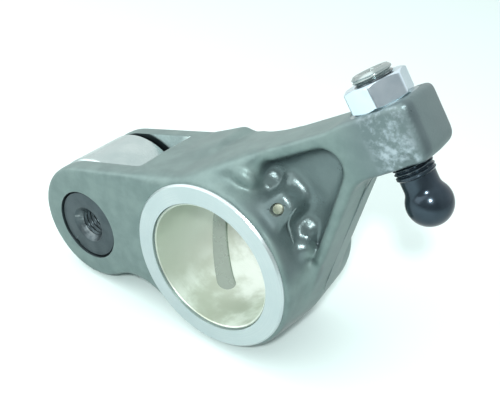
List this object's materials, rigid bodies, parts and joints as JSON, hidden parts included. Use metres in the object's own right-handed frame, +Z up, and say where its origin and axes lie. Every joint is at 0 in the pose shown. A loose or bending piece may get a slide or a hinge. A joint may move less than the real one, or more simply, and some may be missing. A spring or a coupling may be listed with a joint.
{
  "type": "rocker arm",
  "caption": "Forged roller rocker arm of a heavy overhead-camshaft engine, with bronze-lined cam roller, bushed shaft bore, ball-ended adjusting screw and lock nut",
  "frame": {"origin": "on the rocker shaft's axis, halfway across the hub", "axes": "+Y along the rocker shaft, +X from the cam roller towards the adjusting screw, +Z up with hub and roller standing on one level"},
  "size_m": [0.1534, 0.044, 0.1152],
  "materials": {
    "forging": "phosphated grey-green forging, machined faces brighter",
    "bush_lining": "pale lead-tin lining, fine bored",
    "ground_steel": "ground",
    "bronze": "turned",
    "dark_steel": "hardened and darkened, turned face",
    "plug_steel": "drawn, staked in place",
    "black_oxide": "black oxide, polished ball",
    "zinc_plate": "bright zinc plate"
  },
  "bodies": {
    "arm": {"rocker_arm_body": "forging", "shaft_bushing": "bush_lining", "roller_pin": "dark_steel", "gallery_plug": "plug_steel"},
    "roller_bush": {"roller_bushing": "bronze"},
    "roller": {"cam_roller": "ground_steel"},
    "adjuster": {"adjusting_screw": "black_oxide"},
    "nut": {"lock_nut": "zinc_plate"}
  },
  "joints": [
    {"name": "bush_spin", "type": "hinge", "parent": "arm", "child": "roller_bush", "pos_m": [-0.05901, 0, -0.0103], "axis": [0, 1, 0], "continuous": true},
    {"name": "roller_spin", "type": "hinge", "parent": "arm", "child": "roller", "pos_m": [-0.05901, 0, -0.0103], "axis": [0, 1, 0], "continuous": true},
    {"name": "screw_travel", "type": "slide", "parent": "arm", "child": "adjuster", "axis": [-0.6, 0, 0.8], "range_m": [-0.002, 0.0045]},
    {"name": "nut_turn", "type": "hinge", "parent": "arm", "child": "nut", "pos_m": [0.04422, 0, 0.06984], "axis": [-0.6, 0, 0.8], "range_deg": [0, 660]}
  ]
}
